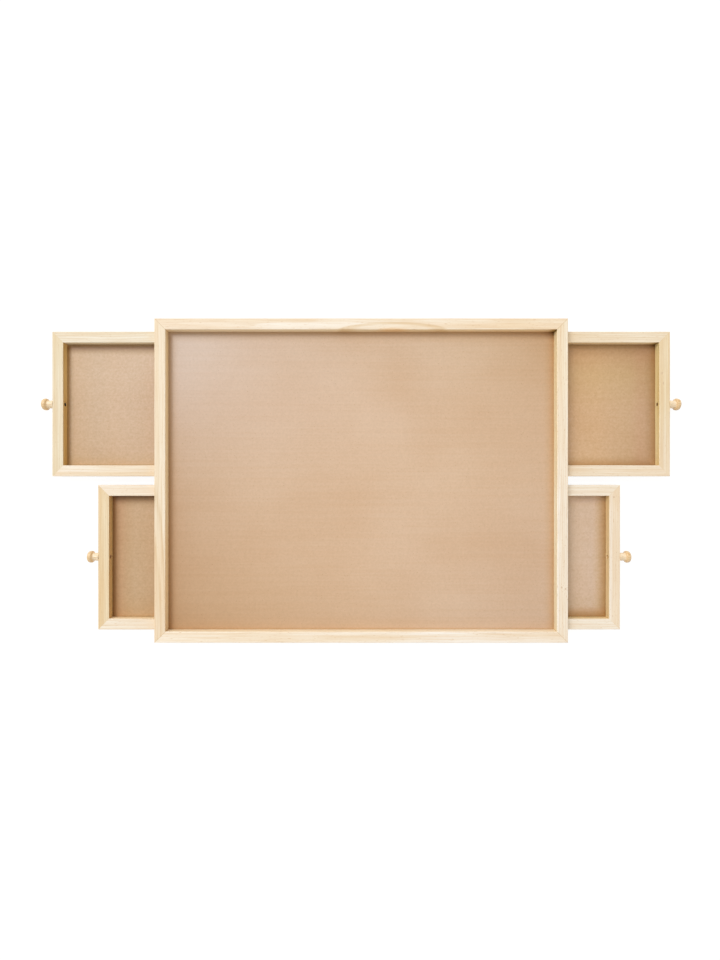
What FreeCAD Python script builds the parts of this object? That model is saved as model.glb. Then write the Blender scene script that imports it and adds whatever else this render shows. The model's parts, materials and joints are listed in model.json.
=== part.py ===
# Jigsaw puzzle table: a low pine frame round a sunken hardboard work surface, with four drawers
# that slide out from under it, two at each end.
#
# Millimetres, +Z up. The origin is on the ground at the middle of the frame. +X runs along the
# long side to the right, +Y to the rear. The drawers are modelled part open, each by its own amount.
import FreeCAD
import Part
import math
import os

Vec = FreeCAD.Vector

# ---- driving dimensions: frame ----
FRAME_LENGTH = 889.0          # outside, along X
FRAME_DEPTH = 697.0           # outside, along Y
FRAME_HEIGHT = 51.0           # ground to the top of the rails
RAIL_WIDTH = 24.0             # top face of every frame rail
RAIL_ARRIS = 1.6              # rounding of the rails' upper edges
SURFACE_RECESS = 19.0         # top of the rails down to the work surface
SHEET_THICKNESS = 3.2         # hardboard of the work surface and of the drawer bottoms
SURFACE_SEAT = 8.0            # how far the rails are grooved or rebated for the work surface
SHEET_EDGE_PLAY = 0.5         # hardboard edge to the bottom of its groove
GROOVE_PLAY = 0.2             # groove height over the sheet's thickness

# ---- driving dimensions: drawer channels ----
CHANNEL_DEPTH = 4.0           # how far the drawers run into the front and rear rails
SPINE_WIDTH = 15.0            # beam between the front and the rear drawers
CROSS_WIDTH = 24.0            # beams between the left and the right drawers, which stop them
RUNNER_THICKNESS = 4.0        # flat runners that the drawers slide on
SIDE_RUNNER_LIP = 10.0        # the outer runners pass the inner face of the rail above by this
CENTRE_RUNNER_WIDTH = 40.0    # runner below the spine
RUNNER_ARRIS = 1.0            # chamfer of the runners' lower edges

# ---- driving dimensions: drawers ----
DRAWER_SIDE_PLAY = 2.0        # each side of a drawer to its channel wall
DRAWER_TOP_PLAY = 1.5         # drawer to the underside of the work surface
DRAWER_RUN_GAP = 0.3          # drawer to its runners
DRAWER_STOP_GAP = 0.5         # closed drawer to the cross beam behind it
DRAWER_RAIL_WIDTH = 24.0      # top face of every drawer rail
DRAWER_ARRIS = 1.2            # rounding of the drawer rails' upper edges
BOTTOM_LIP = 3.0              # wood below the groove for the drawer bottom
BOTTOM_SEAT = 6.0             # depth of that groove
REAR_DRAWER_OPEN = 232.5      # how far both rear drawers stand out from the frame
FRONT_LEFT_OPEN = 132.0       # how far the front left drawer stands out
FRONT_RIGHT_OPEN = 123.0      # how far the front right drawer stands out

# ---- driving dimensions: turned knob and its screw ----
KNOB_DROP = 8.5               # top of the drawer down to the knob's axis
KNOB_LENGTH = 25.5            # drawer face to the crown
KNOB_RADIUS = 13.0            # widest part of the head
KNOB_HEAD_DEPTH = 12.5        # underside of the head to the crown
KNOB_RIM = 4.0                # straight band round the head
KNOB_UNDER_BEVEL = 1.5        # bevel of the head's inner edge
KNOB_NECK_RADIUS = 7.2        # thinnest part, just behind the head
KNOB_FOOT_RADIUS = 9.4        # where the neck meets the drawer
KNOB_SCREW_RADIUS = 2.0
KNOB_SCREW_BITE = 17.0        # length of the screw inside the knob
KNOB_SCREW_HEAD_RADIUS = 3.4
KNOB_SCREW_HEAD_HEIGHT = 2.4
SCREW_WELL_DEPTH = 11.0       # counterbore in the inner face of the drawer front
SCREW_WELL_PLAY = 0.6         # screw head to the wall of that counterbore

# ---- driving dimensions: other fasteners ----
BRAD_SIDE = 1.2               # brads and pins are square wire without heads
BRAD_LENGTH = 38.0            # brads of the frame
DRAWER_BRAD_LENGTH = 30.0     # brads of the drawers
PIN_LENGTH = 14.0             # pins that hold the work surface up to the end rails
PINS_PER_END = 4
PIN_END_MARGIN = 45.0         # first pin to the inner face of the front or rear rail
SCREW_RADIUS = 1.75
SCREW_HEAD_RADIUS = 3.5
SCREW_LENGTH = 19.0           # countersunk screws of the runners
SCREWS_PER_RUNNER = 3
SCREW_END_MARGIN = 40.0       # first screw to the end of the runner
FASTENER_PLAY = 0.05          # fastener to the wall of its hole
RECESS_DEPTH = 1.2            # square driver recess of every screw
RECESS_WIDTH = 1.8

OVERCUT = 1.0                 # how far a cutting tool passes what it cuts
QUARTER_TURN = 90.0
HALF_TURN = 180.0

# ---- heights and places that follow ----
SURFACE_TOP = FRAME_HEIGHT - SURFACE_RECESS
SURFACE_BOTTOM = SURFACE_TOP - SHEET_THICKNESS
GROOVE_TOP = SURFACE_TOP + GROOVE_PLAY
HALF_LENGTH = FRAME_LENGTH / 2
HALF_DEPTH = FRAME_DEPTH / 2
INNER_HALF_LENGTH = HALF_LENGTH - RAIL_WIDTH
INNER_HALF_DEPTH = HALF_DEPTH - RAIL_WIDTH
CHANNEL_WALL = INNER_HALF_DEPTH + CHANNEL_DEPTH
RUNNER_EDGE = INNER_HALF_DEPTH - SIDE_RUNNER_LIP
DRAWER_BOTTOM = RUNNER_THICKNESS + DRAWER_RUN_GAP
DRAWER_HEIGHT = SURFACE_BOTTOM - DRAWER_TOP_PLAY - DRAWER_BOTTOM
DRAWER_WIDTH = CHANNEL_WALL - SPINE_WIDTH / 2 - 2 * DRAWER_SIDE_PLAY
DRAWER_LENGTH = HALF_LENGTH - CROSS_WIDTH / 2 - DRAWER_STOP_GAP
DRAWER_MIDDLE = SPINE_WIDTH / 2 + DRAWER_SIDE_PLAY + DRAWER_WIDTH / 2
KNOB_AXIS_Z = DRAWER_HEIGHT - KNOB_DROP


# ---- shapes ----
def box(low, high):
    """Box between two opposite corners."""
    size = [b - a for a, b in zip(low, high)]
    return Part.makeBox(*size, Vec(*low))


def prism(outline, direction):
    """Solid swept from a closed outline of straight points."""
    face = Part.Face(Part.makePolygon(outline + outline[:1]))
    return face.extrude(direction)


def rod(radius, start, direction, length):
    return Part.makeCylinder(radius, length, start, direction)


def spread(reach, count):
    """Evenly spaced places from -reach to +reach."""
    step = 2 * reach / (count - 1)
    return [-reach + step * i for i in range(count)]


def turned(shape, degrees):
    copy = shape.copy()
    copy.rotate(Vec(), Vec(0, 0, 1), degrees)
    return copy


def moved(shape, offset):
    copy = shape.copy()
    copy.translate(offset)
    return copy


def rail_section(inner_outline, width, top, bottom, arris):
    """Section of a rail in the YZ plane, outer face at Y = 0 and inner face at Y = -width.

    Both upper edges are rounded. inner_outline runs from the inner face down to the underside.
    """
    slant = arris * math.sqrt(0.5)
    outer_mid = Vec(0, slant - arris, top - arris + slant)
    inner_mid = Vec(0, arris - width - slant, top - arris + slant)
    edges = [
        Part.LineSegment(Vec(0, 0, bottom), Vec(0, 0, top - arris)),
        Part.Arc(Vec(0, 0, top - arris), outer_mid, Vec(0, -arris, top)),
        Part.LineSegment(Vec(0, -arris, top), Vec(0, arris - width, top)),
        Part.Arc(Vec(0, arris - width, top), inner_mid, Vec(0, -width, top - arris)),
    ]
    corners = [Vec(0, -width, top - arris)] + inner_outline + [Vec(0, 0, bottom)]
    edges += [Part.LineSegment(a, b) for a, b in zip(corners, corners[1:])]
    return Part.Face(Part.Wire([edge.toShape() for edge in edges]))


def mitred_rail(section, length, width, mitre_from, top):
    """Rail along X with both ends cut at 45 degrees above the height mitre_from."""
    rail = section.extrude(Vec(length, 0, 0))
    rail.translate(Vec(-length / 2, 0, 0))
    far = length / 2 + OVERCUT
    near = length / 2 - width - OVERCUT
    for end in (-1, 1):
        wedge = prism(
            [
                Vec(end * far, OVERCUT, mitre_from),
                Vec(end * near, -width - OVERCUT, mitre_from),
                Vec(end * far, -width - OVERCUT, mitre_from),
            ],
            Vec(0, 0, top + OVERCUT - mitre_from),
        )
        rail = rail.cut(wedge)
    return rail


# ---- fasteners: each function makes the fastener, or with play the hole that takes it ----
def brad(place, direction, length, play):
    """Headless square brad, driven flush at place."""
    half = BRAD_SIDE / 2 + play
    wire = box((-half, -half, 0), (half, half, length + play))
    wire.Placement = FreeCAD.Placement(place, FreeCAD.Rotation(Vec(0, 0, 1), direction))
    return wire


def brads(places, direction, length, play=0.0):
    return Part.makeCompound([brad(place, direction, length, play) for place in places])


def countersunk_screw(place, play=0.0):
    """Runner screw, driven straight up, its head flush at place."""
    cone_height = SCREW_HEAD_RADIUS - SCREW_RADIUS
    outline = [
        Vec(0, 0, 0),
        Vec(SCREW_HEAD_RADIUS + play, 0, 0),
        Vec(SCREW_RADIUS + play, 0, cone_height),
        Vec(SCREW_RADIUS + play, 0, SCREW_LENGTH + play),
        Vec(0, 0, SCREW_LENGTH + play),
    ]
    face = Part.Face(Part.makePolygon(outline + outline[:1]))
    screw = face.revolve(Vec(), Vec(0, 0, 1), 360)
    if not play:
        half = RECESS_WIDTH / 2
        screw = screw.cut(box((-half, -half, -OVERCUT), (half, half, RECESS_DEPTH)))
    return moved(screw, place)


# ---- places of the fasteners ----
def corner_brad_places():
    """Brads through the front and rear rails into the mitred ends of the end rails."""
    third = (FRAME_HEIGHT - GROOVE_TOP) / 3
    x = HALF_LENGTH - RAIL_WIDTH / 2
    return [
        Vec(side * x, 0, GROOVE_TOP + third * row) for side in (-1, 1) for row in (1, 2)
    ]


def cross_brad_places():
    """Brads through the front and rear rails into the ends of the cross beams."""
    z = (RUNNER_THICKNESS + SURFACE_BOTTOM) / 2
    return [Vec(side * CROSS_WIDTH / 4, 0, z) for side in (-1, 1)]


def frame_brads(play=0.0):
    """All brads of the frame, in from the front and the rear."""
    rows = []
    for side in (-1, 1):
        places = [p + Vec(0, side * HALF_DEPTH, 0) for p in corner_brad_places() + cross_brad_places()]
        rows.append(brads(places, Vec(0, -side, 0), BRAD_LENGTH, play))
    return Part.makeCompound(rows)


def surface_pins(play=0.0):
    """Pins up through both ends of the work surface into the end rails."""
    x = INNER_HALF_LENGTH + SURFACE_SEAT / 2
    rows = spread(INNER_HALF_DEPTH - PIN_END_MARGIN, PINS_PER_END)
    places = [Vec(side * x, y, SURFACE_BOTTOM) for side in (-1, 1) for y in rows]
    return brads(places, Vec(0, 0, 1), PIN_LENGTH, play)


def runner_screws(play=0.0):
    """Screws up through the three runners into the rails and the spine."""
    rail_middle = (CHANNEL_WALL + HALF_DEPTH) / 2
    columns = spread(HALF_LENGTH - SCREW_END_MARGIN, SCREWS_PER_RUNNER)
    lines = (-rail_middle, 0, rail_middle)
    places = [Vec(x, y, 0) for y in lines for x in columns]
    return Part.makeCompound([countersunk_screw(place, play) for place in places])


# ---- frame ----
def long_rail():
    """Rear rail: grooved for the work surface, cut back below it as a wall of the drawer channels.

    Only the part above the work surface is mitred. The end rails stand on what is below.
    """
    outline = [
        Vec(0, -RAIL_WIDTH, GROOVE_TOP),
        Vec(0, SURFACE_SEAT - RAIL_WIDTH, GROOVE_TOP),
        Vec(0, SURFACE_SEAT - RAIL_WIDTH, SURFACE_BOTTOM),
        Vec(0, CHANNEL_DEPTH - RAIL_WIDTH, SURFACE_BOTTOM),
        Vec(0, CHANNEL_DEPTH - RAIL_WIDTH, RUNNER_THICKNESS),
    ]
    section = rail_section(outline, RAIL_WIDTH, FRAME_HEIGHT, RUNNER_THICKNESS, RAIL_ARRIS)
    rail = mitred_rail(section, FRAME_LENGTH, RAIL_WIDTH, SURFACE_BOTTOM, FRAME_HEIGHT)
    return moved(rail, Vec(0, HALF_DEPTH, 0))


def end_rail():
    """Right rail: rebated for the work surface, mitred over its full height."""
    outline = [
        Vec(0, -RAIL_WIDTH, GROOVE_TOP),
        Vec(0, SURFACE_SEAT - RAIL_WIDTH, GROOVE_TOP),
        Vec(0, SURFACE_SEAT - RAIL_WIDTH, SURFACE_BOTTOM),
    ]
    section = rail_section(outline, RAIL_WIDTH, FRAME_HEIGHT, SURFACE_BOTTOM, RAIL_ARRIS)
    rail = mitred_rail(section, FRAME_DEPTH, RAIL_WIDTH, SURFACE_BOTTOM - OVERCUT, FRAME_HEIGHT)
    return turned(moved(rail, Vec(0, HALF_LENGTH, 0)), -QUARTER_TURN)


def work_surface():
    x = INNER_HALF_LENGTH + SURFACE_SEAT - SHEET_EDGE_PLAY
    y = INNER_HALF_DEPTH + SURFACE_SEAT - SHEET_EDGE_PLAY
    return box((-x, -y, SURFACE_BOTTOM), (x, y, SURFACE_TOP))


def centre_spine():
    half = SPINE_WIDTH / 2
    return box((-HALF_LENGTH, -half, RUNNER_THICKNESS), (HALF_LENGTH, half, SURFACE_BOTTOM))


def cross_beam():
    """Rear beam between the spine and the rear rail, notched over the runners at both ends."""
    half = CROSS_WIDTH / 2
    outline = [
        Vec(-half, SPINE_WIDTH / 2, SURFACE_BOTTOM),
        Vec(-half, SPINE_WIDTH / 2, RUNNER_THICKNESS),
        Vec(-half, CENTRE_RUNNER_WIDTH / 2, RUNNER_THICKNESS),
        Vec(-half, CENTRE_RUNNER_WIDTH / 2, 0),
        Vec(-half, RUNNER_EDGE, 0),
        Vec(-half, RUNNER_EDGE, RUNNER_THICKNESS),
        Vec(-half, CHANNEL_WALL, RUNNER_THICKNESS),
        Vec(-half, CHANNEL_WALL, SURFACE_BOTTOM),
    ]
    return prism(outline, Vec(CROSS_WIDTH, 0, 0))


def runner(low_y, high_y, low_arris, high_arris):
    """Flat runner along X, its exposed lower edges chamfered."""
    outline = [
        Vec(-HALF_LENGTH, low_y, RUNNER_THICKNESS),
        Vec(-HALF_LENGTH, low_y, low_arris),
        Vec(-HALF_LENGTH, low_y + low_arris, 0),
        Vec(-HALF_LENGTH, high_y - high_arris, 0),
        Vec(-HALF_LENGTH, high_y, high_arris),
        Vec(-HALF_LENGTH, high_y, RUNNER_THICKNESS),
    ]
    return prism(outline, Vec(FRAME_LENGTH, 0, 0))


def frame_nodes():
    """Every piece of the body that stands still."""
    rear_rail = long_rail().cut(frame_brads(FASTENER_PLAY)).cut(runner_screws(FASTENER_PLAY))
    right_rail = end_rail().cut(frame_brads(FASTENER_PLAY)).cut(surface_pins(FASTENER_PLAY))
    rear_beam = cross_beam().cut(frame_brads(FASTENER_PLAY))
    rear_runner = runner(RUNNER_EDGE, HALF_DEPTH, 0, RUNNER_ARRIS)
    half_centre = CENTRE_RUNNER_WIDTH / 2
    centre_runner = runner(-half_centre, half_centre, 0, 0)
    rear_runner = rear_runner.cut(runner_screws(FASTENER_PLAY))
    return {
        "frame_rail_rear": rear_rail,
        "frame_rail_front": turned(rear_rail, HALF_TURN),
        "frame_rail_right": right_rail,
        "frame_rail_left": turned(right_rail, HALF_TURN),
        "work_surface": work_surface().cut(surface_pins(FASTENER_PLAY)),
        "centre_spine": centre_spine().cut(runner_screws(FASTENER_PLAY)),
        "cross_beam_rear": rear_beam,
        "cross_beam_front": turned(rear_beam, HALF_TURN),
        "runner_rear": rear_runner,
        "runner_front": turned(rear_runner, HALF_TURN),
        "runner_centre": centre_runner.cut(runner_screws(FASTENER_PLAY)),
        "frame_brads": frame_brads(),
        "surface_pins": surface_pins(),
        "runner_screws": runner_screws(),
    }


# ---- drawer, in its own frame: front towards +X, side away from the spine towards +Y ----
# The origin is below the middle of the box, level with its underside.
def drawer_section():
    """Section of all four drawer rails, grooved for the bottom sheet."""
    groove_top = BOTTOM_LIP + SHEET_THICKNESS + GROOVE_PLAY
    outline = [
        Vec(0, -DRAWER_RAIL_WIDTH, groove_top),
        Vec(0, BOTTOM_SEAT - DRAWER_RAIL_WIDTH, groove_top),
        Vec(0, BOTTOM_SEAT - DRAWER_RAIL_WIDTH, BOTTOM_LIP),
        Vec(0, -DRAWER_RAIL_WIDTH, BOTTOM_LIP),
        Vec(0, -DRAWER_RAIL_WIDTH, 0),
    ]
    return rail_section(outline, DRAWER_RAIL_WIDTH, DRAWER_HEIGHT, 0, DRAWER_ARRIS)


def drawer_rail(length):
    return mitred_rail(drawer_section(), length, DRAWER_RAIL_WIDTH, -OVERCUT, DRAWER_HEIGHT)


def drawer_brads(play=0.0):
    """One brad at each corner, through the sides into the ends of the front and the back."""
    x = DRAWER_LENGTH / 2 - DRAWER_RAIL_WIDTH / 2
    groove_top = BOTTOM_LIP + SHEET_THICKNESS + GROOVE_PLAY
    z = (groove_top + DRAWER_HEIGHT) / 2
    rows = []
    for side in (-1, 1):
        places = [Vec(end * x, side * DRAWER_WIDTH / 2, z) for end in (-1, 1)]
        rows.append(brads(places, Vec(0, -side, 0), DRAWER_BRAD_LENGTH, play))
    return Part.makeCompound(rows)


def drawer_bottom():
    x = DRAWER_LENGTH / 2 - DRAWER_RAIL_WIDTH + BOTTOM_SEAT - SHEET_EDGE_PLAY
    y = DRAWER_WIDTH / 2 - DRAWER_RAIL_WIDTH + BOTTOM_SEAT - SHEET_EDGE_PLAY
    return box((-x, -y, BOTTOM_LIP), (x, y, BOTTOM_LIP + SHEET_THICKNESS))


def knob():
    """Turned mushroom knob along +X from the drawer's face, with the hole for its screw."""
    neck_end = KNOB_LENGTH - KNOB_HEAD_DEPTH
    rim_start = neck_end + KNOB_UNDER_BEVEL
    rim_end = rim_start + KNOB_RIM
    dome_height = KNOB_LENGTH - rim_end
    dome_radius = (KNOB_RADIUS**2 + dome_height**2) / (2 * dome_height)
    half_angle = math.asin(KNOB_RADIUS / dome_radius) / 2
    dome_mid = Vec(
        KNOB_LENGTH - dome_radius * (1 - math.cos(half_angle)), dome_radius * math.sin(half_angle), 0
    )
    foot = Vec(0, KNOB_FOOT_RADIUS, 0)
    waist = Vec(neck_end, KNOB_NECK_RADIUS, 0)
    hollow = (foot + waist) / 2 - Vec(0, (KNOB_FOOT_RADIUS - KNOB_NECK_RADIUS) / 4, 0)
    under = Vec(neck_end, KNOB_RADIUS - KNOB_UNDER_BEVEL, 0)
    rim_inner = Vec(rim_start, KNOB_RADIUS, 0)
    rim_outer = Vec(rim_end, KNOB_RADIUS, 0)
    crown = Vec(KNOB_LENGTH, 0, 0)
    edges = [
        Part.LineSegment(Vec(), foot),
        Part.Arc(foot, hollow, waist),
        Part.LineSegment(waist, under),
        Part.LineSegment(under, rim_inner),
        Part.LineSegment(rim_inner, rim_outer),
        Part.Arc(rim_outer, dome_mid, crown),
        Part.LineSegment(crown, Vec()),
    ]
    face = Part.Face(Part.Wire([edge.toShape() for edge in edges]))
    body = face.revolve(Vec(), Vec(1, 0, 0), 360)
    pilot = rod(
        KNOB_SCREW_RADIUS + FASTENER_PLAY,
        Vec(-OVERCUT, 0, 0),
        Vec(1, 0, 0),
        KNOB_SCREW_BITE + FASTENER_PLAY + OVERCUT,
    )
    return moved(body.cut(pilot), Vec(DRAWER_LENGTH / 2, 0, KNOB_AXIS_Z))


def knob_screw(play=0.0):
    """Screw from the well in the drawer front's inner face out into the knob."""
    front = DRAWER_LENGTH / 2
    seat = front - DRAWER_RAIL_WIDTH + SCREW_WELL_DEPTH
    along = Vec(1, 0, 0)
    shank = rod(
        KNOB_SCREW_RADIUS + play, Vec(seat, 0, KNOB_AXIS_Z), along, front + KNOB_SCREW_BITE - seat
    )
    if play:
        well_start = front - DRAWER_RAIL_WIDTH - OVERCUT
        well_radius = KNOB_SCREW_HEAD_RADIUS + SCREW_WELL_PLAY
        well = rod(well_radius, Vec(well_start, 0, KNOB_AXIS_Z), along, seat - well_start)
        return shank.fuse(well)
    head_start = seat - KNOB_SCREW_HEAD_HEIGHT
    head = rod(
        KNOB_SCREW_HEAD_RADIUS, Vec(head_start, 0, KNOB_AXIS_Z), along, KNOB_SCREW_HEAD_HEIGHT
    )
    half = RECESS_WIDTH / 2
    recess = box(
        (head_start - OVERCUT, -half, KNOB_AXIS_Z - half),
        (head_start + RECESS_DEPTH, half, KNOB_AXIS_Z + half),
    )
    return head.fuse(shank).removeSplitter().cut(recess)


def drawer_nodes():
    """Every piece of one drawer."""
    side = moved(drawer_rail(DRAWER_LENGTH), Vec(0, DRAWER_WIDTH / 2, 0))
    side = side.cut(drawer_brads(FASTENER_PLAY))
    front = turned(moved(drawer_rail(DRAWER_WIDTH), Vec(0, DRAWER_LENGTH / 2, 0)), -QUARTER_TURN)
    front = front.cut(drawer_brads(FASTENER_PLAY))
    return {
        "front": front.cut(knob_screw(FASTENER_PLAY)),
        "back": turned(front, HALF_TURN),
        "side_outer": side,
        "side_inner": turned(side, HALF_TURN),
        "bottom": drawer_bottom(),
        "knob": knob(),
        "knob_screw": knob_screw(),
        "brads": drawer_brads(),
    }


def drawer_places():
    """Each drawer's end of the table, its side and how far it stands out."""
    return {
        "rear_left": (-1, 1, REAR_DRAWER_OPEN),
        "front_left": (-1, -1, FRONT_LEFT_OPEN),
        "rear_right": (1, 1, REAR_DRAWER_OPEN),
        "front_right": (1, -1, FRONT_RIGHT_OPEN),
    }


def placed(shape, end, side, opened):
    """Drawer piece in the table: mirrored for the left end and for the front side."""
    if end < 0:
        shape = shape.mirror(Vec(), Vec(1, 0, 0))
    if side < 0:
        shape = shape.mirror(Vec(), Vec(0, 1, 0))
    middle = HALF_LENGTH - DRAWER_LENGTH / 2 + opened
    return moved(shape, Vec(end * middle, side * DRAWER_MIDDLE, DRAWER_BOTTOM))


def all_nodes():
    nodes = frame_nodes()
    pieces = drawer_nodes()
    for drawer, place in drawer_places().items():
        for piece, shape in pieces.items():
            nodes[f"drawer_{drawer}_{piece}"] = placed(shape, *place)
    return nodes


os.makedirs("parts", exist_ok=True)
for node, shape in all_nodes().items():
    shape.exportStep(f"parts/{node}.step")
    print(node, len(shape.Solids), round(shape.Volume), shape.isValid())
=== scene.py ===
# %% [markdown]
# # A jigsaw puzzle table with four drawers
# The real table is a low frame of pale pine rails, mitred like a picture frame, round a sunken
# sheet of hardboard. Four shallow drawers of the same pine slide out under its ends on turned knobs.
# The solids of every rail, sheet, screw and brad come in as a fixed frame. What is left to do here is
# what a joiner's shop does last: choose the boards, look at their grain, and turn the knobs.

# %% Load the solids
import json
import math
import random

import bpy
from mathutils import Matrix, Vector

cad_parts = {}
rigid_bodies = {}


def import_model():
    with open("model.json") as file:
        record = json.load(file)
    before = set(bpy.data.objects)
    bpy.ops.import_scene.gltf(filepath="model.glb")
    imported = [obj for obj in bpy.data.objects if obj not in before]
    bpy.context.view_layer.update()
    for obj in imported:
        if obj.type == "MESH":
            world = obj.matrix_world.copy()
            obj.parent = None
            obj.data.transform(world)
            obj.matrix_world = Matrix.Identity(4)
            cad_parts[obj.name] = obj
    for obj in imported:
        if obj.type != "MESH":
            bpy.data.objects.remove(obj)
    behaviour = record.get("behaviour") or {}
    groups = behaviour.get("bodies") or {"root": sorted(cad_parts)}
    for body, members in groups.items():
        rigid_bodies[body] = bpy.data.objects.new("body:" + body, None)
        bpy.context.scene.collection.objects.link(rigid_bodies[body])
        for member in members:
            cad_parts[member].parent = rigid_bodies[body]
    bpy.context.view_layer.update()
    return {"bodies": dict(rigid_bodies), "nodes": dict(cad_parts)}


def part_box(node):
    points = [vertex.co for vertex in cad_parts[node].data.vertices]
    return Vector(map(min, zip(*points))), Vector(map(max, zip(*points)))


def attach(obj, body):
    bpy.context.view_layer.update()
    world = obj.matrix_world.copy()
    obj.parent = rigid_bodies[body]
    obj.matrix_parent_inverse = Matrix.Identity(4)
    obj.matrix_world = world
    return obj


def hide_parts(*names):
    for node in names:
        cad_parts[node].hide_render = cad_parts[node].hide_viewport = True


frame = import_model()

nodes = frame["nodes"]
MM = 0.001

# %% [markdown]
# ## The camera
# A table that is flat is best read from straight above, so the camera hangs over its middle and looks
# down. A camera with no turn looks along -Z with +Y up, so it needs a place and a lens, and no more.
# The lens is worked out, not tried: at the rim one millimetre is to cover RIM_SCALE pixels, and the
# camera hangs CAMERA_RISE above the rim, which together give the focal length in pixels.

# %% Hang the camera
PICTURE_WIDTH = 720
PICTURE_HEIGHT = 960
RIM_SCALE = 0.4658
CAMERA_RISE = 1150 * MM
MIDDLE_ACROSS = 361.2
MIDDLE_DOWN = 480.6
NEAREST_SEEN = 10 * MM

rim_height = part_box("frame_rail_rear")[1].z
focal_pixels = RIM_SCALE * CAMERA_RISE / MM
camera_data = bpy.data.cameras.new("camera_above")
camera_data.lens = camera_data.sensor_width * focal_pixels / PICTURE_HEIGHT
camera_data.clip_start = NEAREST_SEEN
camera = bpy.data.objects.new("camera_above", camera_data)
camera.location = (
    (PICTURE_WIDTH / 2 - MIDDLE_ACROSS) / RIM_SCALE * MM,
    (MIDDLE_DOWN - PICTURE_HEIGHT / 2) / RIM_SCALE * MM,
    rim_height + CAMERA_RISE,
)
bpy.context.scene.collection.objects.link(camera)
bpy.context.scene.camera = camera
bpy.context.scene.view_settings.view_transform = "Standard"
print("lens in mm:", round(camera_data.lens, 2), "camera at", [round(v, 4) for v in camera.location])

# %% [markdown]
# ## A few helpers for every material
# A procedural material is a small tree of nodes. Instead of a helper for each kind of node, one helper
# adds any node: it takes the kind, what goes into the sockets, and the node's own settings. A socket gets
# a plain value, a colour, another node's output, or just the other node, which then stands for its first
# output in use. Colours are written as sRGB hex, as a paint chart gives them, while a shader works in
# linear light, so one more helper turns the one into the other.

# %% One way to write a colour, one way to add a node
def linear(colour):
    """A hex colour in linear light. Any other value stays as it is."""
    if not isinstance(colour, str):
        return colour
    parts = [int(colour[i:i + 2], 16) / 255 for i in (0, 2, 4)]
    parts = [p / 12.92 if p <= 0.04045 else ((p + 0.055) / 1.055) ** 2.4 for p in parts]
    return (*parts, 1.0)


def add(tree, kind, sockets=None, stops=(), **settings):
    made = tree.nodes.new("ShaderNode" + kind)
    for field, value in settings.items():
        setattr(made, field, value)
    for socket, value in (sockets or {}).items():
        if isinstance(value, bpy.types.Node):
            value = next(output for output in value.outputs if output.enabled)
        if isinstance(value, bpy.types.NodeSocket):
            tree.links.new(value, made.inputs[socket])
        else:
            made.inputs[socket].default_value = linear(value)
    for number, (place, colour) in enumerate(stops):
        if number >= len(made.color_ramp.elements):
            made.color_ramp.elements.new(place)
        made.color_ramp.elements[number].position = place
        made.color_ramp.elements[number].color = linear(colour)
    return made


def blank_material(name):
    material = bpy.data.materials.new(name)
    material.use_nodes = True
    material.node_tree.nodes.clear()
    return material, material.node_tree


def solid_material(name):
    """A blank material, with the spot in space that is to be coloured and the way its face looks."""
    material, tree = blank_material(name)
    where = add(tree, "TexCoord")
    return material, tree, where.outputs["Object"], where.outputs["Normal"]


def dress(name, material):
    for slot in nodes[name].material_slots:
        slot.material = material


WHITE = "FFFFFF"
print("white is", linear(WHITE), "and middle grey is", [round(v, 3) for v in linear("808080")])

# %% [markdown]
# ## How tones build up
# Wood and hardboard get their look from many faint things at once: rings, fibres, clouds, dust. Each is
# a tone that is multiplied onto the colour so far, like a thin stain. White leaves the colour alone and
# anything else deepens it. A ramp turns the strength of a pattern into such a tone.

# %% Lay one tone over another
# the sockets of a Mix node for colours: how much, the colour below, and the colour laid over it
SHARE, UNDER, OVER = 0, 6, 7
LAY = {"data_type": "RGBA"}
STAIN = {"data_type": "RGBA", "blend_type": "MULTIPLY"}


def span(start, end, low=0.0, high=1.0):
    """What a Map Range node needs to carry start to low, end to high, and the rest in between."""
    return {"From Min": start, "From Max": end, "To Min": low, "To Max": high}


def stained(tree, colour, amount, tones, share=1.0):
    """A colour under the tone that a ramp gives for an amount."""
    tone = add(tree, "ValToRGB", {"Fac": amount}, stops=tones)
    return add(tree, "Mix", {SHARE: share, UNDER: colour, OVER: tone}, **STAIN)


def stretched_noise(tree, place, lengths, detail):
    """Noise whose clouds are about so long along the three axes."""
    stretched = add(tree, "Mapping", {"Vector": place, "Scale": tuple(1 / length for length in lengths)})
    return add(tree, "TexNoise", {"Vector": stretched, "Scale": 1.0, "Detail": detail})


def radii_from(tree, spot, centre, radii):
    """How far a spot lies from a centre, counted in radii: 1 on the skin of an egg-shaped ball."""
    about = add(tree, "Mapping", {
        "Vector": spot,
        "Scale": tuple(1 / radius for radius in radii),
        "Location": tuple(-c / radius for c, radius in zip(centre, radii)),
    })
    return add(tree, "VectorMath", {0: about}, operation="LENGTH")


def wave_scale(gap):
    """The wave node makes 20 / (2 pi) waves in each unit of length at scale 1."""
    return 2 * math.pi / (20 * gap)


print("scale for waves 1 mm apart:", round(wave_scale(1 * MM), 1))

# %% [markdown]
# ## Floor, backdrop and light
# The table lies on a plain pale floor that runs far enough to be the backdrop as well. To the camera
# most of the floor's white is its own, so it stays white, and the rest is lit, so the table keeps a soft
# shadow under it. Seen from below the floor lets the eye through, and the underside can be looked at.
# A wide lamp behind the left corner gives one soft side to the light, and a white world fills the rest.
# A tent of white cloth is brightest round its sides, so the fill is stronger low down than overhead:
# the upright faces come out clear, and the corners under them keep a soft shadow. All of it is set so
# that a colour in the middle of the table renders about as it is written.

# %% Lay the floor
FLOOR_SIDE = 14.0
FLOOR_DROP = 0.4 * MM
FLOOR_PAINT = "F2F1EF"
FLOOR_OWN_WHITE = 0.84
FLOOR_OWN_STRENGTH = 1.10


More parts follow.
